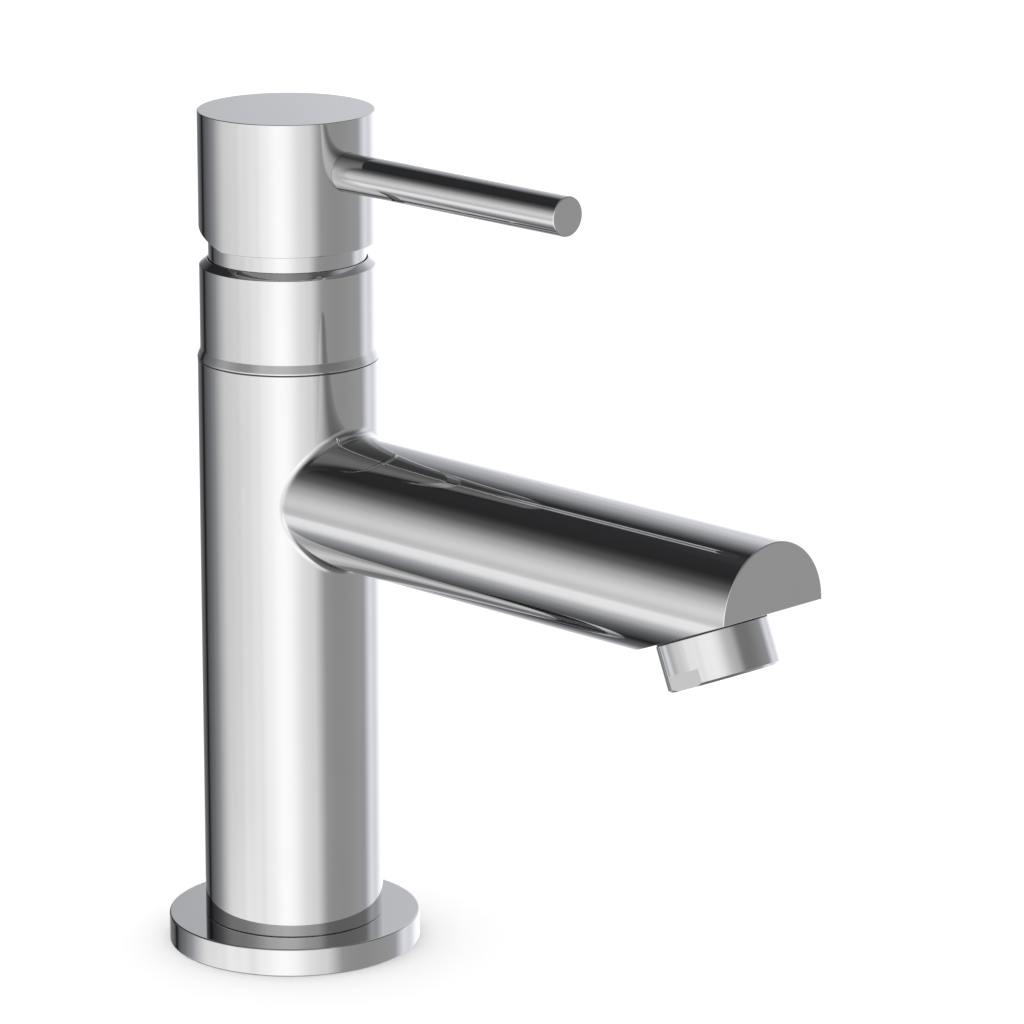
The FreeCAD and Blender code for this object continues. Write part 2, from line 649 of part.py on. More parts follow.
def make_handle_cap():
    """Cup-shaped handle: skirt cut away at the back, neck inside the collar's lip."""
    body = new_body("handle_cap")
    turn(body, "cap", [
        ("0", "pivot_level"),
        ("cap_radius - cap_edge", "pivot_level"),
        ("cap_radius", "pivot_level + cap_edge"),
        ("cap_radius", "cap_top - cap_edge"),
        ("cap_radius - cap_edge", "cap_top"),
        ("0", "cap_top"),
    ])
    profile(body, "back_relief", None, "4 * cap_radius", [
        ("0", "pivot_level"),
        ("cap_radius + 1", "pivot_level + skirt_slope * (cap_radius + 1)"),
        ("cap_radius + 1", "pivot_level - 1"),
        ("0", "pivot_level - 1"),
    ], plane="YZ_Plane", cut=True, both_ways=True)
    turn(body, "neck", [
        ("0", "neck_bottom"),
        ("neck_radius - neck_edge", "neck_bottom"),
        ("neck_radius", "neck_bottom + neck_edge"),
        ("neck_radius", "cavity_top"),
        ("0", "cavity_top"),
    ])
    disc(body, "cavity", "cavity_top", "cavity_top - neck_bottom",
         [("0", "0", "cavity_radius")], cut=True)
    profile(body, "stem_socket", "socket_top", "socket_top - cavity_top",
            box_corners("-socket_half", "socket_half", "-socket_half", "socket_half"), cut=True)
    disc(body, "lever_seat", "cap_radius + hole_margin",
         "cap_radius + hole_margin - lever_seat",
         [("0", "lever_level", "lever_radius + lever_play")], plane="XZ_Plane", cut=True)
    disc(body, "lever_thread", "cap_radius", "cap_radius - stub_end + stub_play",
         [("0", "lever_level", "stub_radius + stub_play")], plane="XZ_Plane", cut=True)
    disc(body, "grub_hole", "-cap_radius - hole_margin",
         "cap_radius + hole_margin - socket_half + hole_margin",
         [("0", "grub_level", "grub_radius + stub_play")], plane="XZ_Plane", cut=True,
         reverse=True)
    disc(body, "plug_seat", "-cap_radius - hole_margin", "cap_radius + hole_margin - plug_seat",
         [("0", "grub_level", "plug_radius + stub_play")], plane="XZ_Plane", cut=True,
         reverse=True)


def make_lever_rod():
    """Round lever with a threaded stub that screws into the cap."""
    body = new_body("lever_rod")
    disc(body, "rod", "lever_seat", "lever_reach - lever_seat",
         [("0", "lever_level", "lever_radius")], plane="XZ_Plane")
    disc(body, "stub", "stub_end", "lever_seat - stub_end",
         [("0", "lever_level", "stub_radius")], plane="XZ_Plane")
    round_edges(body, "tip_edge", "PartDesign::Chamfer", body.Tip, is_lever_tip, "lever_edge")


def is_lever_tip(edge):
    """True for the rim of the lever's end face."""
    box = edge.BoundBox
    return abs(box.YMin + size("lever_reach")) < 1e-3 and box.YLength < 1e-3


def make_set_screw():
    """Grub screw behind the stem, with a hexagon socket in its outer end."""
    body = new_body("set_screw")
    disc(body, "screw", "-grub_end", "grub_end - stem_half",
         [("0", "grub_level", "grub_radius")], plane="XZ_Plane")
    corners = [(f"grub_key * cos({angle})", f"grub_level + grub_key * sin({angle})")
               for angle in range(30, 390, 60)]
    profile(body, "key", "-grub_end", "grub_key_depth", corners, plane="XZ_Plane", cut=True,
            reverse=True)


def make_index_plug():
    """Round plug over the grub screw's hole at the back of the handle."""
    body = new_body("index_plug")
    disc(body, "plug", "-plug_face", "plug_face - plug_seat - stub_play",
         [("0", "grub_level", "plug_radius")], plane="XZ_Plane")


def make_aerator_shell():
    """Screw-in shell of the aerator, with two spanner flats at its outer end."""
    body = new_body("aerator_shell")
    turn(body, "section", [
        ("shell_bore", "-thread_length"),
        ("shell_thread", "-thread_length"),
        ("shell_thread", "shell_joint"),
        ("shell_radius - edge_break", "shell_joint"),
        ("shell_radius", "shell_joint + edge_break"),
        ("shell_radius", "shell_length - shell_bevel"),
        ("shell_radius - shell_bevel", "shell_length"),
        ("mouth_lip", "shell_length"),
        ("shell_bore", "shell_length - mouth_step"),
    ])
    for name, near, far in (("left_flat", "-flat_distance", "-shell_radius - 1"),
                            ("right_flat", "flat_distance", "shell_radius + 1")):
        profile(body, name, None, "4 * shell_radius",
                box_corners(near, far, "flat_start", "shell_length + 1"),
                plane="XZ_Plane", cut=True, both_ways=True)
    body.Placement = mouth_placement()


def make_aerator_insert():
    """Plastic jet insert: a cup whose floor is a grid of small jets."""
    body = new_body("aerator_insert")
    turn(body, "section", [
        ("0", "insert_face - grid_thickness"),
        ("insert_bore", "insert_face - grid_thickness"),
        ("insert_bore", "-thread_length"),
        ("insert_radius", "-thread_length"),
        ("insert_radius", "insert_face"),
        ("0", "insert_face"),
    ])
    disc(body, "centre_jet", "insert_face", "grid_thickness", [("0", "0", "jet_radius")],
         cut=True)
    for circle in (1, 2, 3):
        jet = disc(body, f"jet_{circle}", "insert_face", "grid_thickness",
                   [(f"{circle} * jet_pitch", "0", "jet_radius")], cut=True)
        repeat_round(body, f"jets_{circle}", jet, 6 * circle)
    body.Placement = mouth_placement()


def make_aerator_screen():
    """Conical strainer at the inlet of the aerator."""
    body = new_body("aerator_screen")
    turn(body, "section", [
        ("0", "-screen_level - screen_rise"),
        ("screen_cone", "-screen_level"),
        ("screen_radius", "-screen_level"),
        ("screen_radius", "-screen_level - screen_sheet"),
        ("screen_cone", "-screen_level - screen_sheet"),
        ("0", "-screen_level - screen_rise - screen_sheet"),
    ])
    body.Placement = mouth_placement()


def make_aerator_gasket():
    """Stepped rubber washer over the strainer's rim."""
    body = new_body("aerator_gasket")
    rim = "-screen_level - screen_sheet"
    turn(body, "section", [
        ("gasket_inner", "-gasket_top"),
        ("shell_thread", "-gasket_top"),
        ("shell_thread", "-screen_level"),
        ("gasket_step", "-screen_level"),
        ("gasket_step", rim),
        ("gasket_inner", rim),
    ])
    body.Placement = mouth_placement()


def make_joint_washer():
    """Black washer between the aerator's shoulder and the cut face of the spout."""
    washer = ring("joint_washer", "washer_inner", "washer_outer", "0", "shell_joint")
    washer.Placement = mouth_placement()


def make_all():
    """Build every sub-part, from the deck up."""
    make_base_flange()
    ring("base_seal", "seal_inner", "seal_outer", "0", "seal_depth")
    make_inlet_manifold()
    o_rings("manifold_oring", [(0, 0)], "manifold_radius + riser_play - ring_section",
            "ring_section", "ring_level")
    for label, (x, y) in zip(("hot_riser", "cold_riser"), PORT_PAIR):
        make_riser(label, x, y)
    make_faucet_body()
    o_rings("seat_seals", port_points(), "seat_ring", "seat_section",
            "seat_level + seat_section")
    make_cartridge_base()
    o_rings("disc_seals", disc_points(), "disc_ring", "disc_section",
            "disc_seat - disc_section")
    make_fixed_disc()
    make_cartridge_housing()
    make_cartridge_nut()
    ring("slip_ring", "slip_inner", "slip_radius", "column_top", "column_top + slip_thickness")
    make_collar()
    make_stop_ring()
    make_turning_carrier()
    o_rings("carrier_oring", [(0, 0)], "groove_radius + groove_half", "groove_half",
            "groove_level")
    make_pivot_pin()
    make_stop_pin()
    make_moving_disc()
    make_disc_driver()
    make_spindle()
    make_handle_cap()
    make_lever_rod()
    make_set_screw()
    make_index_plug()
    make_aerator_shell()
    make_aerator_insert()
    make_aerator_screen()
    make_aerator_gasket()
    make_joint_washer()


def check_document():
    """Stop if any object failed, or if a feature changed nothing."""
    doc.recompute()
    for item in doc.Objects:
        if "Invalid" in item.State or "Error" in item.State:
            raise RuntimeError(f"{item.Name} failed: {item.State}")
    for body in subparts:
        if body.Shape.isNull() or not body.Shape.isValid():
            raise RuntimeError(f"{body.Label} has no valid shape")
    for body in (part for part in subparts if part.TypeId == "PartDesign::Body"):
        volumes = [step.Shape.Volume for step in body.Group if hasattr(step, "AddSubShape")]
        for before, after in zip(volumes, volumes[1:]):
            if abs(before - after) < 1e-3:
                raise RuntimeError(f"a feature of {body.Label} changes nothing")


def write_parts():
    """Write one STEP file per sub-part."""
    os.makedirs("parts", exist_ok=True)
    for body in subparts:
        body.Shape.exportStep(f"parts/{body.Label}.step")
        print(f"{body.Label}: {len(body.Shape.Solids)} solid(s), {body.Shape.Volume:.1f} mm3")


fill_sheet()
make_all()
check_document()
write_parts()
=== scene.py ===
"""Looks of the single-lever basin mixer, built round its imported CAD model."""

import json
import math

import bpy
import numpy as np
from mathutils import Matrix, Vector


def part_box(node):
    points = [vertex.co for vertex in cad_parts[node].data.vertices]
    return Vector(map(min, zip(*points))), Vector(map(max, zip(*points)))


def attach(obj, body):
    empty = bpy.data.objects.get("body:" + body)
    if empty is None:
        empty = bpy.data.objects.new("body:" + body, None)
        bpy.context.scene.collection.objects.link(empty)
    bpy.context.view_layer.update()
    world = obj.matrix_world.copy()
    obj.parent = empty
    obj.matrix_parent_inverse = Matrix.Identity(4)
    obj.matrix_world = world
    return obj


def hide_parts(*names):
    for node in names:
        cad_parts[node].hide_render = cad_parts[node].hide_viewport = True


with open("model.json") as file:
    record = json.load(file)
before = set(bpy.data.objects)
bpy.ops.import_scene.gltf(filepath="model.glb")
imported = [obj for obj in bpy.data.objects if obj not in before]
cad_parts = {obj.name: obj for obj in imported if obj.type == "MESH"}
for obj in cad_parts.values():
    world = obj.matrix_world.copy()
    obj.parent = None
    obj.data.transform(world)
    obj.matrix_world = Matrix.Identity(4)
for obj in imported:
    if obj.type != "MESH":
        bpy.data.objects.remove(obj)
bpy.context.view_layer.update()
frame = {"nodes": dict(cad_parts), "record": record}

MM = 0.001                      # the shapes below are worked out in millimetres
ROUND = 256                     # steps round a large turned part
HAIR = 1e-9                     # what rounding may add to an angle


# ---------------------------------------------------------------- sizes from the frame

def box_mm(node):
    """Lowest and highest corner of a CAD node, in millimetres."""
    low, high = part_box(node)
    return np.array(low) / MM, np.array(high) / MM


def unit(vectors):
    """Vectors scaled to length one."""
    return vectors / np.linalg.norm(vectors, axis=-1, keepdims=True)


_, FLANGE_HIGH = box_mm("base_flange")
BODY_LOW, BODY_HIGH = box_mm("faucet_body")
COLLAR_LOW, COLLAR_HIGH = box_mm("collar")
_, CAP_HIGH = box_mm("handle_cap")
LEVER_LOW, LEVER_HIGH = box_mm("lever_rod")
PLUG_LOW, PLUG_HIGH = box_mm("index_plug")

COLUMN_R = BODY_HIGH[0]
COLUMN_FOOT = FLANGE_HIGH[2]
COLUMN_TOP = BODY_HIGH[2]
SPOUT_R = 14.07
SPOUT_Z = 99.8
SPOUT_END = BODY_LOW[1]
BLEND_R = 2.0                   # rolling-ball blend where the spout leaves the column
CAP_R = CAP_HIGH[0]
CAP_TOP = CAP_HIGH[2]
LEVER_R = LEVER_HIGH[0]
LEVER_Z = (LEVER_LOW[2] + LEVER_HIGH[2]) / 2
LEVER_SEAT = 15.5               # from the cap's axis to the floor of the lever's seat
PLUG_R = PLUG_HIGH[0]
PLUG_Z = (PLUG_LOW[2] + PLUG_HIGH[2]) / 2
PLUG_SEAT = 16.4                # from the cap's axis to the floor of the button's seat

# the slanted cut under the spout's end, and the aerator's seat in it
CUT_ANGLE = math.radians(22.5)
CUT_BACK = np.array([0.0, math.cos(CUT_ANGLE), -math.sin(CUT_ANGLE)])   # from the front edge
CUT_OUT = np.array([0.0, -math.sin(CUT_ANGLE), -math.cos(CUT_ANGLE)])   # out of the cut face
NOZZLE_RUN = 17.51              # from the cut's front edge to the aerator's axis
NOZZLE = np.array([0, SPOUT_END, SPOUT_Z]) + NOZZLE_RUN * CUT_BACK


# ---------------------------------------------------------------- meshes with exact normals

class Skin:
    """Patches of one closed surface, each point with its exact normal, welded at the end."""

    def __init__(self):
        self.points, self.normals, self.faces, self.count = [], [], [], 0

    def grid(self, points, normals, closed=False):
        """Add a grid of points, its second direction going all the way round if closed."""
        points, normals = np.broadcast_arrays(np.asarray(points, float), normals)
        rows, columns = points.shape[:2]
        index = np.arange(rows * columns).reshape(rows, columns) + self.count
        if closed:
            index = np.concatenate([index, index[:, :1]], axis=1)
        quads = np.stack([index[:-1, :-1], index[:-1, 1:], index[1:, 1:], index[1:, :-1]], -1)
        self.points.append(points.reshape(-1, 3))
        self.normals.append(normals.reshape(-1, 3))
        self.faces.append(quads.reshape(-1, 4))
        self.count += rows * columns

    def disc(self, ring, centre, normal):
        """Close a ring of points with a flat fan."""
        ring = np.asarray(ring, float)
        hub = np.broadcast_to(np.asarray(centre, float), ring.shape)
        self.grid(np.stack([ring, hub]), np.asarray(normal, float), closed=True)

    def build(self, name, place=None):
        """Weld points that share a weld-sized cell, and make the object in metres."""
        weld, offset = 1e-4, 0.3183             # the offset keeps round sizes off the cell walls
        points, normals = np.concatenate(self.points), unit(np.concatenate(self.normals))
        if place is not None:
            turn, shift = place
            points, normals = points @ turn.T + shift, normals @ turn.T
        key = np.floor(points / weld + offset).astype(np.int64)
        _, first, same = np.unique(key, axis=0, return_index=True, return_inverse=True)
        same = same.ravel()
        faces, corner_normals = [], []
        for quad in np.concatenate(self.faces):
            corners = [c for k, c in enumerate(quad) if same[c] != same[quad[k - 1]]]
            if len(corners) < 3 or len({same[c] for c in corners}) < 3:
                continue
            p = points[corners]
            area = np.cross(p[1] - p[0], p[2] - p[0])
            if len(corners) == 4:
                area = area + np.cross(p[2] - p[0], p[3] - p[0])
            if np.dot(area, normals[corners].sum(axis=0)) < 0:
                corners.reverse()
            faces.append([int(same[c]) for c in corners])
            corner_normals.extend(normals[c] for c in corners)
        mesh = bpy.data.meshes.new(name)
        mesh.from_pydata((points[first] * MM).tolist(), [], faces)
        mesh.polygons.foreach_set("use_smooth", [True] * len(mesh.polygons))
        mesh.normals_split_custom_set(corner_normals)
        mesh.update()
        piece = bpy.data.objects.new(name, mesh)
        bpy.context.scene.collection.objects.link(piece)
        return piece


def outline(corners, closed=True, steps=6):
    """Points and outward normals along an outline that goes anticlockwise.

    Each corner is (r, z, edge radius). A radius of 0 is a sharp edge.
    """
    flat = np.array([c[:2] for c in corners], float)
    points, normals = [], []
    count = len(flat)
    for k, (r, z, edge) in enumerate(corners):
        before = flat[k] - flat[k - 1]
        after = flat[(k + 1) % count] - flat[k]
        n1, n2 = (unit(np.array([d[1], -d[0]])) for d in (before, after))
        if not closed and k in (0, count - 1):
            points.append(flat[k])
            normals.append(n2 if k == 0 else n1)
            continue
        turn = math.atan2(n1[0] * n2[1] - n1[1] * n2[0], float(n1 @ n2))
        if edge <= 0:
            points += [flat[k], flat[k]]
            normals += [n1, n2]
            continue
        side = 1 if turn > 0 else -1
        centre = flat[k] - unit(before) * edge * math.tan(abs(turn) / 2) - side * edge * n1
        for t in np.linspace(0, 1, steps + 1):
            c, s = math.cos(turn * t), math.sin(turn * t)
            n = np.array([n1[0] * c - n1[1] * s, n1[0] * s + n1[1] * c])
            points.append(centre + side * edge * n)
            normals.append(n)
    if closed:
        points.append(points[0])
        normals.append(normals[0])
    return np.array(points), np.array(normals)


def lathe(skin, corners, closed=True, around=ROUND):
    """Turn an outline about Z."""
    points, normals = outline(corners, closed)
    angle = np.arange(around) * 2 * math.pi / around
    c, s = np.cos(angle), np.sin(angle)

    def swept(pairs):
        return np.stack([pairs[:, :1] * c, pairs[:, :1] * s,
                         np.repeat(pairs[:, 1:], around, axis=1)], -1)

    skin.grid(swept(points), swept(normals), closed=True)


def wall(angle, height, radius):
    """Points and normals of an upright cylinder; the angle starts at -Y and grows to +X."""
    normals = np.stack([np.sin(angle), -np.cos(angle), np.zeros_like(angle)], -1)
    points = radius * normals
    points[..., 2] = height
    return points, normals


def pierced_wall(skin, radius, levels, holes):
    """Upright wall of a cylinder with openings.

    levels is an array of heights, rows by columns, that may follow a slanted edge. Each hole is
    (middle column, half width in columns, lowest row, highest row, height, curve), and curve
    gives the opening's (angle, height) for a direction round it. Returns each hole's directions.
    """
    step = 2 * math.pi / ROUND
    angle = np.broadcast_to(np.arange(ROUND + 1) * step, levels.shape)
    points, normals = wall(angle, levels, radius)
    fan = (np.linspace(0, 1, 13) ** 1.5)[:, None]       # finer towards the opening
    keep = np.ones((levels.shape[0] - 1, ROUND), bool)
    directions = []
    for middle, half, low, high, height, curve in holes:
        columns = np.arange(middle - half, middle + half + 1)
        keep[low:high, columns[:-1] % ROUND] = False
        rim = [(c, low) for c in columns[:-1]]
        rim += [(columns[-1], r) for r in range(low, high)]
        rim += [(c, high) for c in columns[:0:-1]]
        rim += [(columns[0], r) for r in range(high, low, -1)]
        rim_angle = np.array([(c - middle) * step for c, _ in rim])
        rim_level = np.array([levels[r, c % ROUND] for c, r in rim])
        around_hole = np.arctan2(rim_level - height, rim_angle * radius)
        directions.append(around_hole)
        hole_angle, hole_level = curve(around_hole)
        patch = wall(middle * step + hole_angle + fan * (rim_angle - hole_angle),
                     hole_level + fan * (rim_level - hole_level), radius)
        skin.grid(*patch, closed=True)
    for row, column in zip(*np.nonzero(keep)):
        cell = np.ix_([row, row + 1], [column, column + 1])
        skin.grid(points[cell], normals[cell])
    return directions


def round_over(skin, a, n_a, b, n_b, corner, steps=4):
    """Small round from edge line a with normals n_a to edge line b with normals n_b."""
    a, b, corner = (np.asarray(v, float) for v in (a, b, corner))
    n_a, n_b = np.broadcast_to(n_a, a.shape), np.broadcast_to(n_b, b.shape)
    t = np.linspace(0, 1, steps + 1)[:, None, None]
    points = (1 - t) ** 2 * a + 2 * t * (1 - t) * corner + t ** 2 * b
    skin.grid(points, unit((1 - t) * n_a + t * n_b))


# ---------------------------------------------------------------- pieces

def make_flange():
    """Round deck flange with its seal's groove underneath."""
    skin = Skin()
    rim, top, bore = FLANGE_HIGH[0], FLANGE_HIGH[2], 16.2
    groove_in, groove_out, groove_top = 21.4, 24.1, 2.05
    lathe(skin, [(bore, 0, 0), (groove_in, 0, 0), (groove_in, groove_top, 0),
                 (groove_out, groove_top, 0), (groove_out, 0, 0), (rim, 0, 0.3),
                 (rim, top, 0.35), (bore, top, 0.1)])
    return skin.build("deck_flange")


def make_body():
    """Column and spout in one skin, with the blend between them."""
    skin = Skin()
    foot_edge, top_edge, end_edge = 0.25, 0.12, 0.3
    reach, apart = 18, 2            # rows this far from the spout's axis are fine, then coarse
    rows_under, rows_beside, rows_over = 12, 31, 5
    rows = np.concatenate([
        np.linspace(COLUMN_FOOT + foot_edge, SPOUT_Z - reach - apart, rows_under),
        np.linspace(SPOUT_Z - reach, SPOUT_Z + reach, rows_beside),
        np.linspace(SPOUT_Z + reach + apart, COLUMN_TOP - top_edge, rows_over)])
    levels = np.repeat(rows[:, None], ROUND + 1, axis=1)
    grown = SPOUT_R + BLEND_R
    centre_line = COLUMN_R + BLEND_R

    def ball(direction):
        """Centre of the ball that rolls along the corner between column and spout."""
        x = grown * np.cos(direction)
        return np.stack([x, -np.sqrt(centre_line ** 2 - x ** 2),
                         SPOUT_Z + grown * np.sin(direction)], -1)

    def touch(direction):
        """Where the ball touches the column, as angle and height."""
        centre = ball(direction)
        return np.arctan2(centre[:, 0], -centre[:, 1]), centre[:, 2]

    half_columns = 52
    direction, = pierced_wall(skin, COLUMN_R, levels, [
        (0, half_columns, rows_under, rows_under + rows_beside - 1, SPOUT_Z, touch)])

    # the blend: an arc of the ball's surface from the column to the spout
    centre = ball(direction)
    radial = np.stack([np.cos(direction), 0 * direction, np.sin(direction)], -1)
    flat = centre * [1, 1, 0]
    n_column, n_spout = unit(flat), radial
    bend = np.arccos(np.clip((n_column * n_spout).sum(-1), -1, 1))[:, None]
    t = np.linspace(0, 1, 9)[:, None, None]
    normals = (np.sin((1 - t) * bend) * n_column + np.sin(t * bend) * n_spout) / np.sin(bend)
    skin.grid(centre - BLEND_R * normals, normals, closed=True)

    # the spout's wall to its slanted end
    def end_y(height):
        """Where the end is at a height above the spout's axis: upright above it, slanted below."""
        return SPOUT_END + np.maximum(0, -height) / math.tan(CUT_ANGLE)

    def around_spout(radius, y):
        """Ring of points round the spout's axis."""
        points = radial * radius
        points[:, 1] = y
        points[:, 2] += SPOUT_Z
        return points

    n_front = np.array([0.0, -1.0, 0.0])
    start = around_spout(SPOUT_R, centre[:, 1])
    rim = around_spout(SPOUT_R, end_y(SPOUT_R * np.sin(direction)))
    back_off = around_spout(SPOUT_R, rim[:, 1] + end_edge)
    t = np.linspace(0, 1, 25)[:, None, None]
    skin.grid((1 - t) * start + t * back_off, radial, closed=True)
    small = SPOUT_R - end_edge
    inner = around_spout(small, end_y(small * np.sin(direction)))

    # order the end's ring from one side over the top, and back under
    order = np.argsort(np.mod(direction, 2 * math.pi))
    turn = np.mod(direction[order], 2 * math.pi)
    top_part = order[turn <= math.pi + HAIR]
    low_part = np.concatenate([order[turn >= math.pi - HAIR], order[:1]])
    for part, normal in ((top_part, n_front), (low_part, CUT_OUT)):
        round_over(skin, back_off[part], radial[part], inner[part], normal, rim[part])
    # half-round front face, down to the chord, whose edge is eased less and less to its ends
    chord_ease, taper = 0.15, 0.4
    ease = np.clip(taper * (small - np.abs(inner[top_part][:, 0])), 0, chord_ease)
    chord = inner[top_part] * [1, 0, 0] + [0, SPOUT_END, SPOUT_Z]
    chord_up = chord + ease[:, None] * [0, 0, 1]
    chord_back = chord + ease[:, None] * CUT_BACK
    skin.grid(np.stack([inner[top_part], chord_up]), n_front)
    round_over(skin, chord_up, n_front, chord_back, CUT_OUT, chord)
    # slanted face round the aerator's socket
    socket_r, socket_deep = 9.95, 6.5
    across = np.array([1.0, 0, 0])
    loop = np.concatenate([inner[low_part][:-1], chord_back[:-1]])
    away = loop - NOZZLE
    ray = np.arctan2(away @ CUT_BACK, away @ across)
    hole_out = np.cos(ray)[:, None] * across + np.sin(ray)[:, None] * CUT_BACK
    hole = NOZZLE + socket_r * hole_out
    t = np.linspace(0, 1, 4)[:, None, None]
    skin.grid((1 - t) * hole + t * loop, CUT_OUT, closed=True)
    deep = hole - socket_deep * CUT_OUT
    skin.grid(np.stack([hole, deep]), -hole_out, closed=True)
    skin.disc(deep, NOZZLE - socket_deep * CUT_OUT, CUT_OUT)

    # the two ends of the column, with the manifold's bore below and the cartridge's above
    foot_bore, foot_ceiling = 16, 78
    thread_bore, thread_floor, seat_bore, seat_floor = 15.2, 117.8, 13.5, 112
    lathe(skin, [(0, foot_ceiling, 0), (foot_bore, foot_ceiling, 0), (foot_bore, COLUMN_FOOT, 0),
                 (COLUMN_R, COLUMN_FOOT, foot_edge), (COLUMN_R, COLUMN_FOOT + foot_edge, 0)],
          closed=False)
    lathe(skin, [(COLUMN_R, COLUMN_TOP - top_edge, 0), (COLUMN_R, COLUMN_TOP, top_edge),
                 (thread_bore, COLUMN_TOP, 0), (thread_bore, thread_floor, 0),
                 (seat_bore, thread_floor, 0), (seat_bore, seat_floor, 0), (0, seat_floor, 0)],
          closed=False)
    return skin.build("column_and_spout")


def make_collar():
    """Trim sleeve with a flared foot and a sloped lip."""
    skin = Skin()
    low, high, flare = COLLAR_LOW[2], COLLAR_HIGH[2], COLLAR_HIGH[0]
    sleeve, bore, lip, neck_bore, neck_floor = 18.43, 16.4, 16.85, 16.7, 138.8
    band, flare_rise, lip_drop = 0.3, 2.0, 1.3
    lathe(skin, [(bore, low, 0.1), (flare, low, 0.08), (flare, low + band, 0.12),
                 (sleeve, low + flare_rise, 0.3), (sleeve, high - lip_drop, 0.25),
                 (lip, high, 0.12), (neck_bore, high, 0.05), (neck_bore, neck_floor, 0),
                 (bore, neck_floor, 0)])
    return skin.build("trim_collar")


def make_cap():
    """Cup of the handle: wall, top, slanted underside, neck and hollow."""
    skin = Skin()
    edge, ease = 0.2, 0.18
    angle = np.arange(ROUND + 1) * 2 * math.pi / ROUND
    under_z, slope = 152.6, 0.287
    straight_z = 159                # from here up the rows are level

    def under(y):
        """Height of the underside, level in front and rising behind."""
        return under_z + slope * np.maximum(0, y)

    low = under(-CAP_R * np.cos(angle)) + ease
    level = np.linspace(straight_z, CAP_TOP - edge, 21)
    share = np.linspace(0, 1, 5)[:-1, None]
    levels = np.concatenate([low + share * (level[0] - low),
                             np.repeat(level[:, None], ROUND + 1, axis=1)])
    rise = level[1] - level[0]
    first = len(share)

    def rows_round(height, half):
        """Lowest and highest row of a patch that reaches this far below and above a height."""
        return (first + int((height - half - level[0]) / rise),
                first + int(math.ceil((height + half - level[0]) / rise)))

    def bore(radius, height):
        """Where a bore along Y opens in the wall, as (angle, height) for a direction round it."""
        def curve(direction):
            x = radius * np.cos(direction)
            return np.arcsin(x / CAP_R), height + radius * np.sin(direction)
        return curve

    lever_bore, lever_columns, lever_rows = LEVER_R + 0.03, 15, rows_round(LEVER_Z, 6.4)
    plug_bore, plug_columns, plug_rows = PLUG_R + 0.05, 13, rows_round(PLUG_Z, 5.2)
    front, behind = pierced_wall(skin, CAP_R, levels, [
        (0, lever_columns, *lever_rows, LEVER_Z, bore(lever_bore, LEVER_Z)),
        (ROUND // 2, plug_columns, *plug_rows, PLUG_Z, bore(plug_bore, PLUG_Z)),
    ])
    for direction, radius, height, sign, floor in (
            (front, lever_bore, LEVER_Z, -1, LEVER_SEAT),
            (behind, plug_bore, PLUG_Z, 1, PLUG_SEAT)):
        x = radius * np.cos(direction)
        z = height + radius * np.sin(direction)
        mouth = np.stack([-sign * x, sign * np.sqrt(CAP_R ** 2 - x ** 2), z], -1)
        floor_ring = mouth * [1, 0, 1] + [0, sign * floor, 0]
        inward = np.stack([sign * np.cos(direction), 0 * x, -np.sin(direction)], -1)
        skin.grid(np.stack([mouth, floor_ring]), inward, closed=True)
        skin.disc(floor_ring, [0, sign * floor, height], [0, sign, 0])

    # underside in two halves, level in front of the axis and slanted behind it
    neck_r, neck_low, neck_edge, hollow_r, hollow_top = 16.5, 148.4, 0.4, 13.5, 160.0
    quarter = ROUND // 4
    halves = ((np.arange(-quarter, quarter + 1), np.array([0.0, 0.0, -1.0])),
              (np.arange(quarter, 3 * quarter + 1), unit(np.array([0.0, slope, -1.0]))))
    for columns, normal in halves:
        turn = columns * 2 * math.pi / ROUND

        def ring(radius, lift=0.0):
            """Points and outward normals of a line round the underside."""
            points, outward = wall(turn, 0 * turn, radius)
            points[:, 2] = under(points[:, 1]) + lift
            return points, outward

        upper, outward = ring(CAP_R, ease)
        corner, _ = ring(CAP_R)
        inner, _ = ring(CAP_R - ease)
        round_over(skin, upper, outward, inner, normal, corner)
        root, neck_out = ring(neck_r)
        skin.grid(np.stack([inner, root]), normal)
        foot = root.copy()
        foot[:, 2] = neck_low + neck_edge
        skin.grid(np.stack([root, foot]), neck_out)
    lathe(skin, [(0, hollow_top, 0), (hollow_r, hollow_top, 0), (hollow_r, neck_low, 0),
                 (neck_r - neck_edge, neck_low, 0), (neck_r, neck_low + neck_edge, 0)],
          closed=False)
    lathe(skin, [(CAP_R, CAP_TOP - edge, 0), (CAP_R, CAP_TOP, edge), (0, CAP_TOP, 0)],
          closed=False)
    return skin.build("handle_shell")


def rod(name, radius, start, end, height, edge, around, crown=0.0):
    """Round bar along Y from start to end, with an eased far edge and maybe a crowned end."""
    skin = Skin()
    length = abs(end - start)
    corners = [(0, 0, 0), (radius, 0, 0), (radius, length - crown, edge)]
    if crown:
        share, bend_r = 0.6, 2.0
        corners.append((share * radius, length - share ** 2 * crown, bend_r))
    lathe(skin, corners + [(0, length, 0)], closed=False, around=around)
    forward = -1.0 if end < start else 1.0
    turn = np.array([[1.0, 0, 0], [0, 0, forward], [0, -forward, 0]])
    return skin.build(name, (turn, np.array([0, start, height])))


def make_lever():
    """Thin round lever, from its seat in the cap to its free end."""
    return rod("lever_bar", LEVER_R, -LEVER_SEAT, LEVER_LOW[1], LEVER_Z, edge=0.25, around=160)


def make_button():
    """Crowned index button at the back of the cap."""
    return rod("index_button", PLUG_R, PLUG_SEAT, PLUG_HIGH[1], PLUG_Z, edge=0.3, around=96,
               crown=0.25)


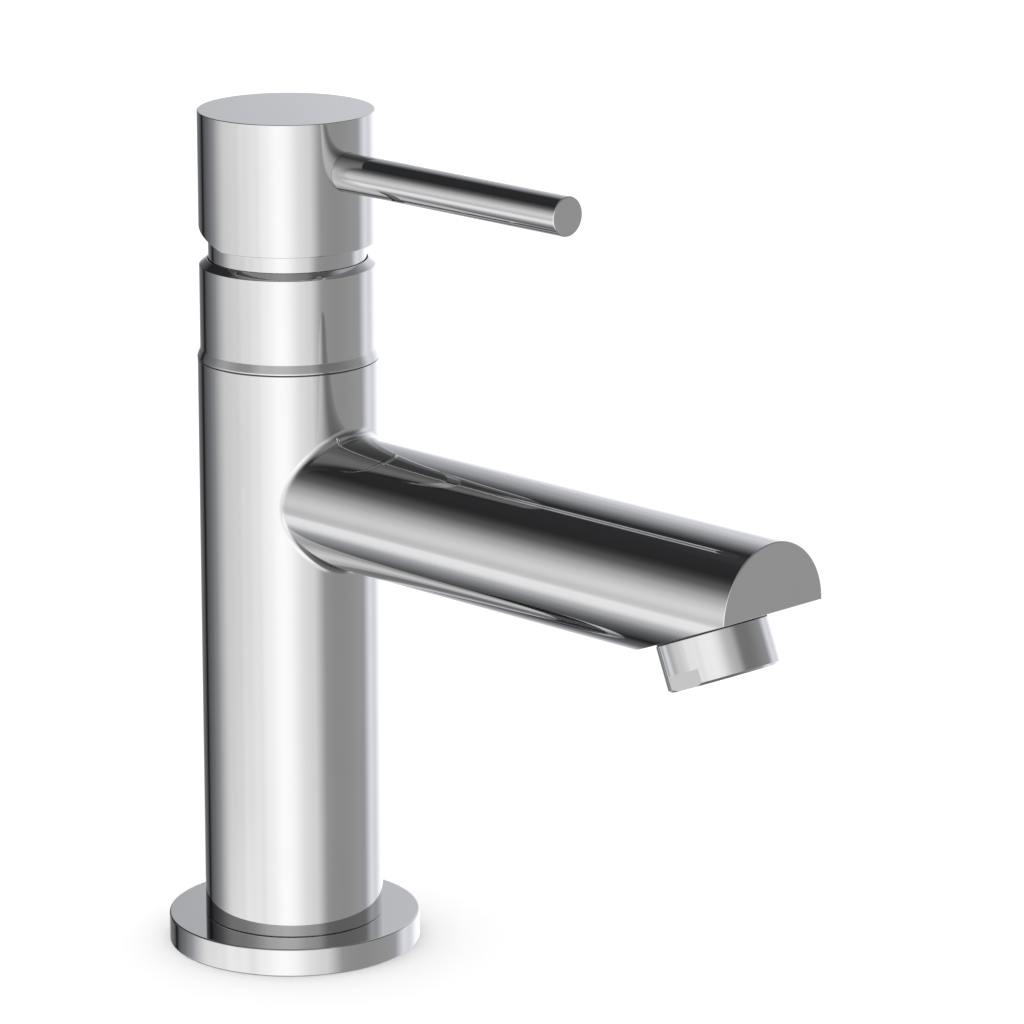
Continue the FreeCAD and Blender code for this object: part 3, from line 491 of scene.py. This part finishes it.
def make_aerator():
    """Screw-in shell with two spanner flats, tilted like the spout's cut."""
    skin = Skin()
    radius, bevel, flat, length, flat_start = 11.44, 0.5, 10.65, 9.8, 6.5
    joint, thread_r, bore, lip, thread, ease = 0.3, 9.9, 8.9, 9.5, 5.0, 0.15
    cone_start = length - bevel
    heights = np.concatenate([np.linspace(flat_start, cone_start, 9),
                              np.linspace(cone_start, length, 7)[1:]])
    outer = radius - np.maximum(0, heights - cone_start)
    meet = np.arccos(flat / outer)              # half angle of the flat at each height

    def sweep(angles, radii, levels, out, up):
        """A grid at these angles, radii and heights, its normal out and up."""
        a, r, z = np.broadcast_arrays(angles, radii, levels)
        points = np.stack([r * np.cos(a), r * np.sin(a), z], -1)
        skin.grid(points, np.stack([out * np.cos(a), out * np.sin(a), up + 0 * a], -1))

    inner = [(lip, length), (lip, cone_start), (bore, cone_start), (bore, -thread),
             (thread_r, -thread), (thread_r, joint), (radius - ease, joint)]
    side = [(-1, 0), (0, 1), (-1, 0), (0, -1), (1, 0), (0, -1)]
    rounded = np.linspace(0, math.pi / 2, 5)
    diagonal = math.sqrt(0.5)
    for start in (0.0, math.pi):
        for sign in (1, -1):
            flat_turn = sign * meet[:, None] * np.linspace(0, 1, 17)
            side_turn = sign * (meet[:, None] + (math.pi / 2 - meet[:, None])
                                * np.linspace(0, 1, 41))
            flat_r = flat / np.cos(flat_turn)
            grid_z = heights[:, None]
            points = np.stack([flat_r * np.cos(start + flat_turn),
                               flat_r * np.sin(start + flat_turn), grid_z + 0 * flat_turn], -1)
            skin.grid(points, np.array([math.cos(start), 0, 0]))
            sweep(start + flat_turn[:1], np.stack([flat_r[0], 0 * flat_r[0] + radius]),
                  flat_start, 0, 1)
            sweep(start + side_turn[:9], radius, grid_z[:9], 1, 0)
            sweep(start + side_turn[8:], outer[8:, None], grid_z[8:], diagonal, diagonal)
            for turn, end_r in ((flat_turn, flat_r[-1]), (side_turn, outer[-1])):
                above, below = start + turn[:1], start + turn[-1:]
                sweep(above, radius, np.linspace(joint + ease, flat_start, 5)[:, None], 1, 0)
                rim_r = radius - ease + ease * np.sin(rounded)[:, None]
                rim_z = joint + ease - ease * np.cos(rounded)[:, None]
                a, r, z = np.broadcast_arrays(above, rim_r, rim_z)
                skin.grid(np.stack([r * np.cos(a), r * np.sin(a), z], -1),
                          np.stack([np.sin(rounded)[:, None] * np.cos(a),
                                    np.sin(rounded)[:, None] * np.sin(a),
                                    -np.cos(rounded)[:, None] + 0 * a], -1))
                sweep(below, np.stack([end_r + 0 * turn[-1], lip + 0 * turn[-1]]),
                      length, 0, 1)
                # the lip follows the angles at the rim, the thread and the shoulder those over
                # the flat, and the bore goes from one to the other
                for p, q, n in zip(inner, inner[1:], side):
                    a = np.concatenate([below, above]) if p[0] == q[0] == bore else (
                        below if p[1] > 0 and p[0] < thread_r else above)
                    sweep(a, np.array([[p[0]], [q[0]]]), np.array([[p[1]], [q[1]]]), *n)
    turn = math.pi - CUT_ANGLE
    tilt = np.array([[1.0, 0, 0], [0, math.cos(turn), -math.sin(turn)],
                     [0, math.sin(turn), math.cos(turn)]])
    return skin.build("aerator_sleeve", (tilt, NOZZLE))


# ---------------------------------------------------------------- materials

def material(name, colour, metallic=0.0, roughness=0.4, rough_change=0.05, tint_change=0.05,
             grain=400.0, bump=0.0, bump_grain=2000.0, stretch=(1, 1, 1), coat=0.0):
    """Procedural finish: uneven tint and roughness at one grain, relief at another.

    grain and bump_grain are noise scales per metre, and stretch scales each axis.
    """
    made = bpy.data.materials.new(name)
    made.use_nodes = True
    nodes, links = made.node_tree.nodes, made.node_tree.links
    shader = nodes["Principled BSDF"]
    place = nodes.new("ShaderNodeTexCoord")
    mapping = nodes.new("ShaderNodeMapping")
    mapping.inputs["Scale"].default_value = stretch
    links.new(place.outputs["Object"], mapping.inputs["Vector"])
    noise = nodes.new("ShaderNodeTexNoise")
    noise.inputs["Scale"].default_value = grain
    noise.inputs["Detail"].default_value = 4.0
    links.new(mapping.outputs["Vector"], noise.inputs["Vector"])
    least, most = 0.3, 0.7          # nearly all of the noise lies between these
    tint = nodes.new("ShaderNodeValToRGB")
    tint.color_ramp.elements[0].position = least
    tint.color_ramp.elements[1].position = most
    tint.color_ramp.elements[0].color = [c * (1 - tint_change) for c in colour] + [1]
    tint.color_ramp.elements[1].color = [min(1, c * (1 + tint_change)) for c in colour] + [1]
    links.new(noise.outputs["Fac"], tint.inputs["Fac"])
    links.new(tint.outputs["Color"], shader.inputs["Base Color"])
    gloss = nodes.new("ShaderNodeMapRange")
    gloss.inputs["From Min"].default_value = least
    gloss.inputs["From Max"].default_value = most
    gloss.inputs["To Min"].default_value = max(0.0, roughness - rough_change)
    gloss.inputs["To Max"].default_value = roughness + rough_change
    links.new(noise.outputs["Fac"], gloss.inputs["Value"])
    links.new(gloss.outputs["Result"], shader.inputs["Roughness"])
    shader.inputs["Metallic"].default_value = metallic
    shader.inputs["Coat Weight"].default_value = coat
    if bump:
        fine = nodes.new("ShaderNodeTexNoise")
        fine.inputs["Scale"].default_value = bump_grain
        fine.inputs["Detail"].default_value = 3.0
        links.new(mapping.outputs["Vector"], fine.inputs["Vector"])
        relief = nodes.new("ShaderNodeBump")
        relief.inputs["Strength"].default_value = bump
        relief.inputs["Distance"].default_value = 0.1 * MM
        links.new(fine.outputs["Fac"], relief.inputs["Height"])
        links.new(relief.outputs["Normal"], shader.inputs["Normal"])
    return made


def make_materials():
    """One finish for each of the record's slots, except the two-coloured index button's."""
    return {
        "chrome": material("chrome", (0.552, 0.55, 0.555), 1.0, 0.035, 0.015, 0.01, 60,
                           bump=0.004, bump_grain=500),
        "brass": material("brass", (0.72, 0.52, 0.24), 1.0, 0.3, 0.08, 0.08, 900, 0.15,
                          stretch=(1, 1, 6)),
        "copper": material("copper", (0.74, 0.40, 0.27), 1.0, 0.28, 0.08, 0.1, 500, 0.1,
                           stretch=(1, 1, 0.2)),
        "steel": material("steel", (0.56, 0.57, 0.58), 1.0, 0.25, 0.06, 0.04, 1200, 0.1),
        "rubber": material("rubber", (0.022, 0.022, 0.024), 0.0, 0.6, 0.1, 0.2, 900, 0.3),
        "black_plastic": material("black_plastic", (0.016, 0.016, 0.018), 0.0, 0.35, 0.08, 0.15,
                                  800, 0.2),
        "acetal": material("acetal", (0.80, 0.79, 0.74), 0.0, 0.35, 0.06, 0.03, 700, 0.15),
        "carrier_plastic": material("carrier_plastic", (0.30, 0.32, 0.34), 0.0, 0.4, 0.07, 0.06,
                                    700, 0.2),
        "insert_plastic": material("insert_plastic", (0.62, 0.64, 0.66), 0.0, 0.38, 0.06, 0.04,
                                   900, 0.15),
        "ceramic": material("ceramic", (0.86, 0.86, 0.84), 0.0, 0.12, 0.04, 0.02, 1500, 0.02,
                            coat=0.3),
    }


def make_index_finish():
    """Gloss plastic, red on the hot half and blue on the cold half."""
    made = material("index_plastic", (0.5, 0.5, 0.5), 0.0, 0.25, 0.04, 0.04, 900, bump=0.05)
    nodes, links = made.node_tree.nodes, made.node_tree.links
    place = nodes.new("ShaderNodeTexCoord")
    split = nodes.new("ShaderNodeSeparateXYZ")
    side = nodes.new("ShaderNodeMapRange")
    side.inputs["From Min"].default_value = -0.03 * MM
    side.inputs["From Max"].default_value = 0.03 * MM
    halves = nodes.new("ShaderNodeValToRGB")
    halves.color_ramp.elements[0].color = (0.55, 0.015, 0.02, 1)
    halves.color_ramp.elements[1].color = (0.01, 0.06, 0.42, 1)
    links.new(place.outputs["Object"], split.inputs["Vector"])
    links.new(split.outputs["X"], side.inputs["Value"])
    links.new(side.outputs["Result"], halves.inputs["Fac"])
    links.new(halves.outputs["Color"], nodes["Principled BSDF"].inputs["Base Color"])
    return made


# ---------------------------------------------------------------- studio

HEADING = math.radians(-45.0)   # the way into the studio, from +Y towards -X if positive
PANEL_LIGHT = 1.64              # brightness of a full studio panel in polished metal
ROOM_LIGHT = 1.3                # even light on floor and plastic
CAMERA_PLACE = (-0.7367, -0.8025, 0.3838)
CAMERA_LENS = 187.9
CAMERA_HEADING = math.radians(-45.01)
CAMERA_DIP = math.radians(14.907)       # below level


def add_studio():
    """White surroundings, with the soft panels and dark flags that polished metal shows."""
    world = bpy.data.worlds.new("studio")
    bpy.context.scene.world = world
    world.use_nodes = True
    world.cycles.sampling_method = "NONE"
    nodes, links = world.node_tree.nodes, world.node_tree.links
    nodes.clear()

    def math_node(operation, *values):
        """Output of a math node on numbers and sockets."""
        node = nodes.new("ShaderNodeMath")
        node.operation = operation
        for socket, value in zip(node.inputs, values):
            if isinstance(value, (int, float)):
                socket.default_value = value
            else:
                links.new(value, socket)
        return node.outputs[0]

    def ramp(value, low, high, stops):
        """Brightness along an angle in degrees, from (degrees, brightness) stops."""
        scaled = nodes.new("ShaderNodeMapRange")
        scaled.inputs["From Min"].default_value = low
        scaled.inputs["From Max"].default_value = high
        links.new(value, scaled.inputs["Value"])
        node = nodes.new("ShaderNodeValToRGB")
        node.color_ramp.interpolation = "CARDINAL"
        top = max(bright for _, bright in stops)
        elements = node.color_ramp.elements
        while len(elements) < len(stops):
            elements.new(0.5)
        for element, (degrees, bright) in zip(elements, stops):
            element.position = (degrees - low) / (high - low)
            element.color = (bright / top, bright / top, bright / top, 1)
        links.new(scaled.outputs["Result"], node.inputs["Fac"])
        return math_node("MULTIPLY", node.outputs["Color"], float(top))

    direction = nodes.new("ShaderNodeTexCoord").outputs["Generated"]

    def along(vector):
        """How far the direction goes along a vector."""
        node = nodes.new("ShaderNodeVectorMath")
        node.operation = "DOT_PRODUCT"
        links.new(direction, node.inputs[0])
        node.inputs[1].default_value = vector
        return node.outputs["Value"]

    right = along((math.cos(HEADING), math.sin(HEADING), 0))
    towards = along((math.sin(HEADING), -math.cos(HEADING), 0))
    to_degrees = 180 / math.pi
    azimuth = math_node("MULTIPLY", math_node("ARCTAN2", right, towards), to_degrees)
    height = math_node("MULTIPLY", math_node("ARCSINE", along((0, 0, 1))), to_degrees)

    def blend(a, b, share):
        """From a to b as share goes from 0 to 1."""
        return math_node("ADD", math_node("MULTIPLY", a, math_node("SUBTRACT", 1.0, share)),
                         math_node("MULTIPLY", b, share))

    # azimuth is 0 towards the camera and grows to the right. Round the object at eye level: a
    # dark flag behind on the left, growing light to the front, a grey screen on the right with
    # sharp sides, and a white wall behind it
    around = ramp(azimuth, -180, 180, [
        (-180, 0.75), (-175, 0.50), (-168, 0.32), (-162, 0.18), (-155, 0.10), (-148, 0.055),
        (-142, 0.025), (-138, 0.005), (-132, 0.04), (-126, 0.06), (-115, 0.10), (-105, 0.165),
        (-90, 0.31), (-75, 0.355), (-62, 0.39), (-48, 0.56), (-35, 0.85), (-20, 0.98),
        (-8, 1.06), (5, 0.98), (15, 0.82), (26, 0.72), (34, 0.64), (47, 0.315), (104, 0.32),
        (110, 0.39), (122, 0.72), (136, 0.67), (150, 0.86), (180, 0.86)])
    # up and down in front of the flag, behind the object, and elsewhere
    left = ramp(height, -60, 60, [
        (-60, 0.6), (-50, 0.9), (-44, 1.5), (-40, 2.0), (-34, 2.4), (-28, 3.0), (-23, 2.95),
        (-19, 2.15), (-15, 1.86), (-11, 1.95), (-6, 2.1), (0, 1.98), (8, 1.56), (16, 1.08),
        (24, 0.52), (32, 0.25), (40, 0.11), (60, 0.12)])
    behind = ramp(height, -60, 60, [
        (-60, 0.5), (-40, 0.8), (-20, 1.0), (0, 0.95), (10, 0.73), (20, 0.70), (28, 0.8),
        (36, 0.8), (46, 0.6), (60, 0.3)])
    elsewhere = ramp(height, -60, 60, [
        (-60, 0.8), (-40, 1.0), (2, 1.0), (10, 0.9), (18, 0.72), (26, 0.5), (38, 0.3),
        (60, 0.2)])
    is_left = ramp(azimuth, -180, 180, [
        (-180, 0), (-164, 0), (-152, 1), (-62, 1), (-36, 0), (180, 0)])
    is_behind = ramp(azimuth, -180, 180, [
        (-180, 1), (-160, 1), (-146, 0), (150, 0), (165, 1), (180, 1)])
    level = blend(blend(elsewhere, left, is_left), behind, is_behind)
    seen = math_node("MULTIPLY", around, level)
    panel_light, panel_share, ceiling, floor_side = 0.84, 0.85, 0.2, 0.15
    # low soft panel at the left, seen by what faces forward and down
    panel = math_node("MULTIPLY", ramp(azimuth, -180, 180, [
        (-180, 0), (-136, 0), (-122, 0.75), (-108, 1), (-72, 1), (-50, 0), (180, 0)]),
        ramp(height, -60, 60, [(-60, 0), (-35, 0), (-27, 1), (-22, 1), (-20, 0), (60, 0)]))
    seen = blend(seen, panel_light, math_node("MULTIPLY", panel, panel_share))
    # nothing is darker than this, then the ceiling and the floor side close the studio
    seen = math_node("MAXIMUM", seen, ramp(height, -60, 60, [
        (-60, 0.02), (-25, 0.02), (-20, 0.004), (0, 0.004), (30, 0.018), (60, 0.03)]))
    overhead = ramp(height, -90, 90, [(-90, 0), (48, 0), (66, 1), (90, 1)])
    underfoot = ramp(height, -90, 90, [(-90, 1), (-64, 1), (-50, 0), (90, 0)])
    seen = blend(blend(seen, ceiling, overhead), floor_side, underfoot)
    seen = math_node("MULTIPLY", seen, PANEL_LIGHT)

    def mix(share, a, b, blend_type="MIX"):
        """Colour from a to b, or their product at full share."""
        node = nodes.new("ShaderNodeMix")
        node.data_type = "RGBA"
        node.blend_type = blend_type
        for name, kind, value in (("Factor", "VALUE", share), ("A", "RGBA", a), ("B", "RGBA", b)):
            socket = next(s for s in node.inputs if s.name == name and s.type == kind)
            if isinstance(value, (int, float, tuple)):
                socket.default_value = value
            else:
                links.new(value, socket)
        return next(s for s in node.outputs if s.type == "RGBA")

    # the far side of the room is a little cooler than the front
    far = ramp(math_node("ABSOLUTE", azimuth), 0, 180, [(0, 0), (92, 0), (112, 1), (180, 1)])
    tint = mix(far, (1, 1, 1, 1), (0.972, 0.992, 1.04, 1))
    panels = mix(1.0, tint, seen, "MULTIPLY")
    path = nodes.new("ShaderNodeLightPath")
    room = mix(path.outputs["Is Diffuse Ray"], (1, 1, 1, 1),
               (ROOM_LIGHT, ROOM_LIGHT, ROOM_LIGHT, 1))
    plain = math_node("MAXIMUM", path.outputs["Is Camera Ray"], path.outputs["Is Diffuse Ray"])
    background = nodes.new("ShaderNodeBackground")
    links.new(mix(plain, panels, room), background.inputs["Color"])
    output = nodes.new("ShaderNodeOutputWorld")
    links.new(background.outputs[0], output.inputs["Surface"])


def add_floor():
    """Plain pale floor, a hair under the flange."""
    mesh = bpy.data.meshes.new("studio_floor")
    size = 20.0                     # from the middle to each side, in metres
    mesh.from_pydata([(-size, -size, 0), (size, -size, 0), (size, size, 0), (-size, size, 0)],
                     [], [(0, 1, 2, 3)])
    floor = bpy.data.objects.new("studio_floor", mesh)
    bpy.context.scene.collection.objects.link(floor)
    floor.location.z = -0.05 * MM
    floor.visible_glossy = False
    mesh.materials.append(material("pale_floor", (0.93, 0.93, 0.93), 0.0, 0.9, 0.02, 0.004, 3))


def add_camera():
    """Camera at the front left, looking a little down."""
    data = bpy.data.cameras.new("camera")
    data.lens = CAMERA_LENS
    data.sensor_width = 36.0
    data.clip_start = 0.05
    data.clip_end = 60.0
    camera = bpy.data.objects.new("camera", data)
    camera.location = CAMERA_PLACE
    camera.rotation_euler = (math.pi / 2 - CAMERA_DIP, 0, CAMERA_HEADING)
    bpy.context.scene.collection.objects.link(camera)
    bpy.context.scene.camera = camera


# ---------------------------------------------------------------- the object

def set_finish(piece, finish):
    """Give a piece one finish and no other."""
    piece.data.materials.clear()
    piece.data.materials.append(finish)


finishes = make_materials()
for entry in frame["record"]["subparts"]:
    if entry["material_slot"] in finishes:
        set_finish(frame["nodes"][entry["node"]], finishes[entry["material_slot"]])

finishes["plug_plastic"] = make_index_finish()

PIECES = [
    (make_flange(), "base_flange", "mixer", "chrome"),
    (make_body(), "faucet_body", "mixer", "chrome"),
    (make_collar(), "collar", "mixer", "chrome"),
    (make_aerator(), "aerator_shell", "mixer", "chrome"),
    (make_cap(), "handle_cap", "handle", "chrome"),
    (make_lever(), "lever_rod", "handle", "chrome"),
    (make_button(), "index_plug", "handle", "plug_plastic"),
]
for piece, node, body, slot_name in PIECES:
    set_finish(piece, finishes[slot_name])
    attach(piece, body)
    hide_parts(node)

add_studio()
add_floor()
add_camera()
bpy.context.scene.view_settings.view_transform = "Standard"
